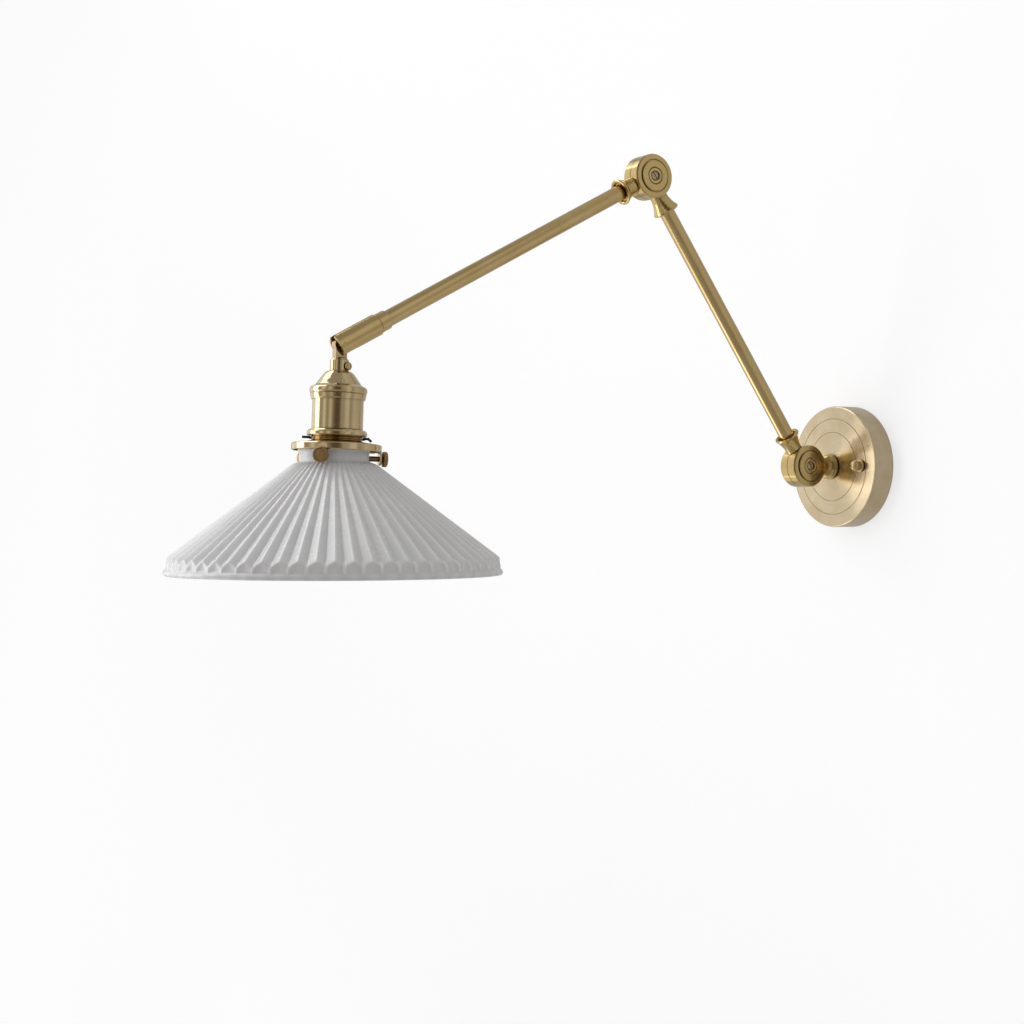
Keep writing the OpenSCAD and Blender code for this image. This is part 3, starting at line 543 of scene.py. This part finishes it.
wall = plane("studio_wall", [(-9, 0.0004, -2.2), (4, 0.0004, -2.2), (4, 0.0004, 4), (-9, 0.0004, 4)])
wall.data.materials.append(stage_material("wall_white",
    [(-2.49, 0.693), (-2.17, 0.692), (-1.85, 0.682), (-1.49, 0.659), (-1.13, 0.633), (-0.84, 0.617), (-0.59, 0.610), (-0.39, 0.614), (-0.22, 0.623), (-0.13, 0.629), (0.06, 0.647), (0.10, 0.652), (0.18, 0.661)], 0.40,
    [(-1.3, 2.2), (-0.85, 1.85), (-0.6, 0.90), (-0.3, 0.48), (0.12, 0.50), (0.42, 0.60), (0.72, 0.38), (0.95, 0.42), (1.25, 0.66), (3.0, 0.62)],
    [(-3.0, 1.75), (-1.3, 1.75), (-0.85, 1.40), (-0.6, 0.4), (-0.5, 0.15), (-0.3, 0.0), (3.0, 0.0)]))
floor = plane("studio_floor", [(-9, -9, -2.2), (4, -9, -2.2), (4, 0.0004, -2.2), (-9, 0.0004, -2.2)])
floor.data.materials.append(stage_material("floor_pale", [(-3.0, 0.60), (3.0, 0.60)], 0.45, [(-1.5, 0.9), (-0.5, 0.5), (0.5, 0.38), (3.0, 0.36)]))


# ---------------------------------------------------------------- light
def panel(name, centre, aim, width, height, radiance, colour=(1, 1, 1)):
    """A softbox, by the radiance of its face."""
    d = bpy.data.lights.new(name, "AREA")
    d.shape = "RECTANGLE"
    d.size, d.size_y = width, height
    d.energy = radiance * math.pi * width * height
    d.color = colour
    o = bpy.data.objects.new(name, d)
    bpy.context.scene.collection.objects.link(o)
    o.location = centre
    o.rotation_euler = (Vector(aim) - Vector(centre)).to_track_quat("-Z", "Y").to_euler()
    o.visible_camera = False
    return o


panel("key", (-0.56, -1.16, 0.13), (0, -0.505, 0.04), 0.42, 1.0, 2.5)
panel("high_left", (-1.0, -0.95, 1.45), (0, -0.25, 0.05), 1.0, 0.8, 2.4)
panel("low_left", (-1.05, -0.95, -1.25), (0, -0.05, 0.0), 0.9, 0.5, 1.6)


def card(name, centre, aim, width, height, radiance):
    """A white card close to the lamp that only polished pieces pick up."""
    m = bpy.data.materials.new(name)
    m.use_nodes = True
    t = m.node_tree
    t.nodes.clear()
    out, glow, clear, mix, path, geo = (t.nodes.new("ShaderNode" + k) for k in (
        "OutputMaterial", "Emission", "BsdfTransparent", "MixShader", "LightPath", "NewGeometry"))
    glow.inputs["Strength"].default_value = radiance
    t.links.new(node_math(t, "SUBTRACT", path.outputs["Is Glossy Ray"], geo.outputs["Backfacing"]), mix.inputs[0])
    t.links.new(clear.outputs[0], mix.inputs[1])
    t.links.new(glow.outputs[0], mix.inputs[2])
    t.links.new(mix.outputs[0], out.inputs["Surface"])
    c, n = Vector(centre), (Vector(aim) - Vector(centre)).normalized()
    u = n.cross(Vector((0, 0, 1))).normalized()
    v = u.cross(n)
    o = plane(name, [c + u * (i * width / 2) + v * (j * height / 2) for i, j in ((-1, -1), (1, -1), (1, 1), (-1, 1))])
    o.data.materials.append(m)
    return o


card("card_head", (-0.247, -0.548, 0.01), (0, -0.503, 0.0), 0.36, 0.20, 4.6)
card("card_elbow", (-0.26, -0.361, 0.288), (0, -0.2227, 0.2355), 0.11, 0.14, 7.0)

world = bpy.data.worlds.new("studio")
bpy.context.scene.world = world
world.use_nodes = True
t = world.node_tree
t.nodes.clear()
new = lambda k: t.nodes.new("ShaderNode" + k)
w_out, seen, lit, path, mixw, coord, over = (new(k) for k in (
    "OutputWorld", "Background", "Background", "LightPath", "MixShader", "TexCoord", "Mix"))
seen.inputs["Color"].default_value = (0.974, 0.974, 0.974, 1)
# a pale cyclorama: bright at the left, two soft strips, dim on the camera's side and overhead
turn, height = turn_of(coord.outputs["Generated"], t)
round_room = levels(t, turn, [(-180, 1.3), (-150, 1.1), (-118, 1.0), (-104, 0.78), (-93, 0.60), (-86, 0.36), (-70, 0.42), (-57, 0.90), (-48, 0.46), (-40, 0.34),
                              (-27, 0.74), (-19, 0.38), (-12, 0.24), (-4, 0.125), (10, 0.12), (18, 0.26), (22, 0.46), (27, 0.38), (36, 0.47), (60, 0.50), (120, 0.55), (180, 1.3)], -180, 180, True)
up = levels(t, node_math(t, "MULTIPLY_ADD", height, 0.5, 0.5), [(-1.0, 0.0), (0.62, 0.0), (0.86, 1.0), (1.0, 1.0)], -1, 1)
over.data_type = "RGBA"
t.links.new(up, over.inputs[0])
t.links.new(round_room, over.inputs[6])
over.inputs[7].default_value = (0.36, 0.355, 0.345, 1)
t.links.new(over.outputs[2], lit.inputs["Color"])
t.links.new(node_math(t, "MULTIPLY_ADD", path.outputs["Is Diffuse Ray"], 0.25, 1.0), lit.inputs["Strength"])
t.links.new(path.outputs["Is Camera Ray"], mixw.inputs[0])
t.links.new(lit.outputs[0], mixw.inputs[1])
t.links.new(seen.outputs[0], mixw.inputs[2])
t.links.new(mixw.outputs[0], w_out.inputs["Surface"])
bpy.context.scene.view_settings.view_transform = "Standard"
